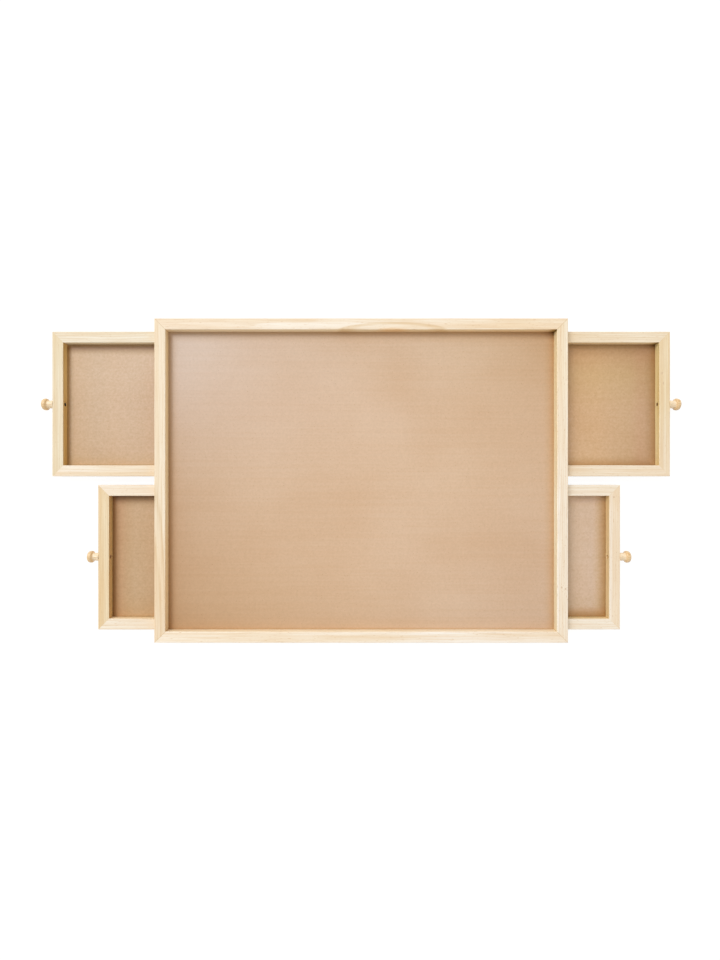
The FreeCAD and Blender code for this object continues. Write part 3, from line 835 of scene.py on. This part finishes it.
def pulp_colour(tree, shifted, tones):
    """The colour of pressed pulp, and its specks, which the relief needs as well."""
    light, dark = tones
    specks = add(tree, "TexNoise", {"Vector": shifted, "Scale": 1 / SPECK, "Detail": 4.0, "Roughness": 0.60})
    colour = add(tree, "ValToRGB", {"Fac": specks}, stops=[(0.28, dark), (0.70, light)])
    clouds = add(tree, "TexNoise", {"Vector": shifted, "Scale": 1 / CLOUD, "Detail": 3.0})
    colour = stained(tree, colour, clouds, [(0.32, "F8F2EA"), (0.62, WHITE)])
    streaks = stretched_noise(tree, shifted, (ROLL_STREAK_LENGTH, ROLL_STREAK, ROLL_STREAK), 2.0)
    colour = stained(tree, colour, streaks, [(0.35, "FDFBF8"), (0.62, WHITE)])
    bits = add(tree, "TexVoronoi", {"Vector": shifted, "Scale": 1 / BIT_GAP})
    return stained(tree, colour, bits, [(0.04, "DCC6AE"), (0.11, WHITE)]), specks


print("specks", SPECK / MM, "mm, clouds", CLOUD / MM, "mm")


# %% Painted shade of the margins and the corner, and the painted drift
def painted_shade_on_sheet(tree, spot, colour, well_low, well_high, margin, clears, corner_shaded, drift):
    # how far a spot lies from the nearest wall of the well: the margin's painted shade follows it
    from_low = add(tree, "VectorMath", {0: spot, 1: well_low}, operation="SUBTRACT")
    from_high = add(tree, "VectorMath", {0: well_high, 1: spot}, operation="SUBTRACT")
    cleared = [
        add(tree, "VectorMath", {0: away, 1: (*rates, 1), 2: (*starts, 0)}, operation="MULTIPLY_ADD")
        for away, (rates, starts) in zip((from_low, from_high), clears)
    ]
    inward = add(tree, "VectorMath", {0: cleared[0], 1: cleared[1]}, operation="MINIMUM")
    walls = add(tree, "SeparateXYZ", {0: inward})
    nearest = add(tree, "Math", {0: walls.outputs["X"], 1: walls.outputs["Y"]}, operation="MINIMUM")
    reach = add(tree, "MapRange", {"Value": nearest, **span(0.0, MARGIN)})
    colour = stained(tree, colour, reach, margin)
    # painted shade in the rear right corner of the well
    if corner_shaded:
        colour = painted_corner_shade(tree, spot, colour, well_high, SHEET_CORNER_SHADE_REACH)

    # the painted drift of light and shade along the sheet, across it, and towards one pair of corners
    half = (well_high - well_low) / 2
    centred = add(tree, "VectorMath", {0: spot, 1: (well_low + well_high) / 2}, operation="SUBTRACT")
    spread = add(tree, "VectorMath", {0: centred, 1: (1 / half.x, 1 / half.y, 0)}, operation="MULTIPLY")
    place = add(tree, "SeparateXYZ", {0: spread})
    crossed = add(tree, "Math", {0: place.outputs["X"], 1: place.outputs["Y"]}, operation="MULTIPLY")
    for amount, drift_tones in zip((place.outputs["X"], place.outputs["Y"], crossed), drift):
        share = add(tree, "MapRange", {"Value": amount, **span(-1, 1)})
        colour = stained(tree, colour, share, drift_tones)
    return colour


# the reach of the painted corner shade on a sheet
print("dust on a sheet reaches", SHEET_CORNER_SHADE_REACH / MM, "mm")

# %% Press the hardboard
# the screen's mesh is about 1.3 mm, drawn at twice that so that it shows from a metre away
SCREEN_MESH = 2.6 * MM
SCREEN_TONES = [(0.1, "A98660"), (0.8, "C9A57E")]
# how much of a face's normal points up where it begins to count as the underside, and where in full
LOOKS_DOWN = (-0.5, -0.9)
HARDBOARD_IOR = 1.5
# of the side pressed by the plate and of the side pressed by the screen
HARDBOARD_ROUGHNESS = (0.40, 0.85)
# how much the specks stand out beside the print of the screen
SPECK_RELIEF = 0.12
HARDBOARD_RELIEF = 0.25 * MM
HARDBOARD_RELIEF_STRENGTH = 0.35


def pressed_hardboard(name, slide, tones, *wear):
    material, tree, spot, normal = solid_material(name)
    shifted = add(tree, "Mapping", {"Vector": spot, "Location": (slide, slide, 0)})
    colour, specks = pulp_colour(tree, shifted, tones)
    colour = painted_shade_on_sheet(tree, spot, colour, *wear)

    # the underside: darker, dull, and printed by the wire screen
    lie = add(tree, "SeparateXYZ", {0: normal})
    under = add(tree, "MapRange", {"Value": lie.outputs["Z"], **span(*LOOKS_DOWN)})
    warp, weft = (
        add(tree, "TexWave", {"Vector": spot, "Scale": wave_scale(SCREEN_MESH)},
            wave_type="BANDS", bands_direction=direction)
        for direction in "XY"
    )
    screen = add(tree, "Math", {0: warp.outputs["Fac"], 1: weft.outputs["Fac"]}, operation="MULTIPLY")
    screen_tone = add(tree, "ValToRGB", {"Fac": screen}, stops=SCREEN_TONES)
    colour = add(tree, "Mix", {SHARE: under, UNDER: colour, OVER: screen_tone}, **LAY)

    screen_print = add(tree, "Math", {0: screen, 1: under}, operation="MULTIPLY")
    faint_specks = add(tree, "Math", {0: specks, 1: SPECK_RELIEF}, operation="MULTIPLY")
    relief = add(tree, "Math", {0: screen_print, 1: faint_specks}, operation="ADD")
    bump = add(tree, "Bump", {
        "Height": relief, "Strength": HARDBOARD_RELIEF_STRENGTH, "Distance": HARDBOARD_RELIEF,
    })
    gloss = add(tree, "MapRange", {"Value": under, **span(0, 1, *HARDBOARD_ROUGHNESS)})
    shader = add(tree, "BsdfPrincipled", {
        "Base Color": colour, "Roughness": gloss, "IOR": HARDBOARD_IOR, "Normal": bump,
    })
    add(tree, "OutputMaterial", {"Surface": shader})
    return material


# how far apart in one endless sheet the pieces were cut
CUT_APART = 1.7
sheets = [n for n in sorted(nodes) if n == "work_surface" or n.endswith("_bottom")]
for number, name in enumerate(sheets):
    if name == "work_surface":
        well = well_between(FRAME_RAILS)
        tones, wear = SURFACE_BOARD, (SURFACE_MARGIN_SHADE, SURFACE_CLEARS, True, SURFACE_PAINTED_DRIFT)
    else:
        drawer = drawer_of(name)
        well = well_between([drawer + rail for rail in ("_front", "_back", "_side_outer", "_side_inner")])
        # the sheet gets painted corner shade where the drawer's outer side rail has it
        corner_shaded = drawer + "_side_outer" in CORNER_SHADE_REACH
        tones = DRAWER_BOARDS[drawer]
        wear = (DRAWER_MARGIN_SHADE, DRAWER_CLEARS[drawer], corner_shaded, DRAWER_PAINTED_DRIFT[drawer])
    dress(name, pressed_hardboard("pressed_hardboard_" + name, CUT_APART * number, tones, *well, *wear))
    print(name, "well in mm:", [round(v / MM, 1) for v in (well[1] - well[0]).xy])

# %% [markdown]
# ## Steel screws, brads and pins
# The brads and pins are cut from drawn wire and the screws are bright steel, all small and mostly
# buried. Drawing leaves fine lines along the wire and a dull shine, so the roughness varies a little
# along a fine noise and the metal itself stays plain. The knob screws are the black kind, phosphated
# against rust, and at the bottom of their wells they read as dark dots.

# %% Draw the wire
WIRE_LINES = 0.5 * MM
STEEL_ROUGHNESS = (0.28, 0.50)


def drawn_steel(name, deep, bright):
    material, tree, spot, _ = solid_material(name)
    lines = add(tree, "TexNoise", {"Vector": spot, "Scale": 1 / WIRE_LINES, "Detail": 3.0})
    tone = add(tree, "ValToRGB", {"Fac": lines}, stops=[(0.3, deep), (0.7, bright)])
    dull = add(tree, "MapRange", {"Value": lines, **span(0, 1, *STEEL_ROUGHNESS)})
    shader = add(tree, "BsdfPrincipled", {"Base Color": tone, "Metallic": 1.0, "Roughness": dull})
    add(tree, "OutputMaterial", {"Surface": shader})
    return material


bright_steel = drawn_steel("bright_drawn_steel", "9FA1A3", "C4C6C7")
black_steel = drawn_steel("black_phosphated_steel", "2A2724", "45403B")
steel_nodes = [n for n in sorted(nodes) if n.endswith(("brads", "pins", "screws", "screw"))]
for name in steel_nodes:
    dress(name, black_steel if name.endswith("knob_screw") else bright_steel)
print("nodes of steel:", len(steel_nodes))

# %% [markdown]
# ## Turned knobs
# Each drawer has a small mushroom knob, turned on a lathe from a stick of pale hardwood: a foot that
# meets the drawer, a stout neck for the fingers and a head with a blunt dome. A lathe shape could be
# spun from a drawn outline. Here it is pushed out from a round face instead, ring after ring, because
# each step is then a place and a radius, as a turner's rod marks them. Every ring is an extrude and a
# resize, and the last one is merged to a point. One knob is made and copied, and each copy is turned to
# its own drawer.

# %% The turner's rod: how far out, and how wide, in mm
KNOB_ROD = [
    (0.5, 9.4), (1.4, 9.3), (2.8, 9.0), (4.6, 8.75), (6.8, 8.55), (9.0, 8.5), (11.4, 8.5), (12.9, 8.7),
    (13.8, 9.4), (14.3, 10.9), (14.9, 12.0), (15.8, 12.7), (17.1, 13.0), (18.5, 13.0),
]
HEAD_FROM, HEAD_TO, HEAD_RADIUS, DOME_RINGS = 18.5, 25.5, 13.0, 9
# at 1 the dome would be round, and below 1 it is blunter
DOME_BLUNT = 0.72
for ring in range(1, DOME_RINGS):
    turn = math.pi / 2 * ring / DOME_RINGS
    out = HEAD_FROM + (HEAD_TO - HEAD_FROM) * math.sin(turn) ** DOME_BLUNT
    KNOB_ROD.append((out, HEAD_RADIUS * math.cos(turn) ** DOME_BLUNT))
print("rings on the knob:", len(KNOB_ROD), "length", HEAD_TO, "mm")

# %% Turn one knob
FOOT_RADIUS = 9.4 * MM
KNOB_SIDES = 56
SMOOTH_BELOW = math.radians(50)
foot_low, foot_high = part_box("drawer_rear_right_knob")
foot = Vector((foot_low.x, (foot_low.y + foot_high.y) / 2, (foot_low.z + foot_high.z) / 2))

bpy.ops.object.select_all(action="DESELECT")
bpy.ops.mesh.primitive_circle_add(
    vertices=KNOB_SIDES, radius=FOOT_RADIUS, fill_type="NGON", location=foot, rotation=(0, math.pi / 2, 0))
first_knob = bpy.context.object
bpy.ops.object.transform_apply(location=True, rotation=True, scale=True)
bpy.ops.object.mode_set(mode="EDIT")
bpy.ops.mesh.select_all(action="SELECT")
reached, radius = 0.0, FOOT_RADIUS
for out, wide in KNOB_ROD:
    bpy.ops.mesh.extrude_region_move(TRANSFORM_OT_translate={"value": (out * MM - reached, 0, 0)})
    reached = out * MM
    share = wide * MM / radius
    bpy.ops.transform.resize(value=(1, share, share), center_override=foot + Vector((reached, 0, 0)))
    radius = wide * MM
bpy.ops.mesh.extrude_region_move(TRANSFORM_OT_translate={"value": (HEAD_TO * MM - reached, 0, 0)})
bpy.ops.mesh.merge(type="CENTER")
bpy.ops.mesh.select_all(action="SELECT")
bpy.ops.mesh.normals_make_consistent(inside=False)
bpy.ops.object.mode_set(mode="OBJECT")
smoother = first_knob.modifiers.new("smoother", "SUBSURF")
smoother.levels = smoother.render_levels = 1
bpy.ops.object.modifier_apply(modifier="smoother")
bpy.ops.object.shade_smooth_by_angle(angle=SMOOTH_BELOW)
print("knob faces:", len(first_knob.data.polygons), "length", round(first_knob.dimensions.x / MM, 2), "mm")

# %% [markdown]
# ## The finish of the knobs
# The knobs are birch, close-grained and a shade deeper than the pine, sanded on the lathe. Held by the
# foot, each head was dipped in clear lacquer, which warms it, while the neck stays bare and pale. The
# grain runs along the lathe's axis, so the neck shows fine lines and the dome shows faint rings to one
# side of its middle. The tool leaves circles round the axis that only show in the gloss. They are
# 0.2 mm apart, drawn here at 0.7 mm.

# %% Lacquered birch, turned
BIRCH_RING = 1.9 * MM
TOOL_RING = 0.7 * MM
# where the heart of the stick's tree lies beside the lathe's axis
BIRCH_HEART = (0, 9 * MM, 14 * MM)
BIRCH_CLOUD = 14 * MM
BIRCH_WANDER = 3 * MM
BIRCH_FIBRE = (9 * MM, 0.7 * MM, 0.7 * MM)
# how far from the foot the bare neck ends and the dipped head begins
BARE_TO, DIPPED_FROM = 12 * MM, 15 * MM
DIPPED_TONE = "F0E2CB"
LACQUER = 0.25
LACQUER_ROUGHNESS = 0.30
BIRCH_IOR = 1.5
BIRCH_ROUGHNESS = (0.34, 0.50)
TOOL_RELIEF = 0.08 * MM
TOOL_RELIEF_STRENGTH = 0.12


def turned_birch(name, axis_place):
    material, tree, spot, _ = solid_material(name)
    on_axis = add(tree, "Mapping", {"Vector": spot, "Location": tuple(-axis_place)})
    heart = add(tree, "Mapping", {"Vector": on_axis, "Location": BIRCH_HEART})
    soft = add(tree, "TexNoise", {"Vector": heart, "Scale": 1 / BIRCH_CLOUD, "Detail": 2.0})
    bent = add(tree, "VectorMath", {0: soft.outputs["Color"], 1: (0, BIRCH_WANDER, BIRCH_WANDER), 2: heart},
               operation="MULTIPLY_ADD")
    rings = add(tree, "TexWave", {"Vector": bent, "Scale": wave_scale(BIRCH_RING)},
                wave_type="RINGS", rings_direction="X", wave_profile="SAW")
    wood = add(tree, "ValToRGB", {"Fac": rings.outputs["Fac"]}, stops=[
        (0.0, "FFF1D8"), (0.55, "FBE9CB"), (0.9, "EDD2A8"), (1.0, "FFF1D8"),
    ])
    fibres = stretched_noise(tree, on_axis, BIRCH_FIBRE, 3.0)
    colour = stained(tree, wood, fibres, [(0.34, "EAD9BF"), (0.62, WHITE)])

    # the bare neck and the dipped head
    out = add(tree, "SeparateXYZ", {0: on_axis})
    out = add(tree, "Math", {0: out.outputs["X"]}, operation="ABSOLUTE")
    dipped = add(tree, "MapRange", {"Value": out, **span(BARE_TO, DIPPED_FROM)})
    colour = add(tree, "Mix", {SHARE: dipped, UNDER: colour, OVER: DIPPED_TONE}, **STAIN)
    coat = add(tree, "Math", {0: dipped, 1: LACQUER}, operation="MULTIPLY")

    tool = add(tree, "TexWave", {"Vector": on_axis, "Scale": wave_scale(TOOL_RING)},
               wave_type="RINGS", rings_direction="SPHERICAL")
    bump = add(tree, "Bump", {
        "Height": tool.outputs["Fac"], "Strength": TOOL_RELIEF_STRENGTH, "Distance": TOOL_RELIEF,
    })
    gloss = add(tree, "MapRange", {"Value": fibres, **span(0, 1, *BIRCH_ROUGHNESS)})
    shader = add(tree, "BsdfPrincipled", {
        "Base Color": colour, "Roughness": gloss, "IOR": BIRCH_IOR,
        "Coat Weight": coat, "Coat Roughness": LACQUER_ROUGHNESS, "Normal": bump,
    })
    add(tree, "OutputMaterial", {"Surface": shader})
    return material


print("lacquer from", DIPPED_FROM / MM, "mm out")

# %% Copy the knob to every drawer
for drawer in drawers:
    low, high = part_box(drawer + "_knob")
    to_left = high.x < 0
    own_foot = Vector((high.x if to_left else low.x, (low.y + high.y) / 2, (low.z + high.z) / 2))
    bpy.ops.object.select_all(action="DESELECT")
    first_knob.select_set(True)
    bpy.context.view_layer.objects.active = first_knob
    bpy.ops.object.duplicate()
    knob = bpy.context.object
    knob.name = drawer + "_turned_knob"
    if to_left:
        bpy.ops.transform.rotate(value=math.pi, orient_axis="Z", center_override=foot)
    bpy.ops.transform.translate(value=own_foot - foot)
    bpy.ops.object.transform_apply(location=True, rotation=True, scale=True)
    knob.data.materials.clear()
    knob.data.materials.append(turned_birch("turned_birch_" + drawer, own_foot))
    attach(knob, drawer)
    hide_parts(drawer + "_knob")
    print(knob.name, "foot in mm:", [round(v / MM, 1) for v in own_foot])
bpy.data.objects.remove(first_knob)
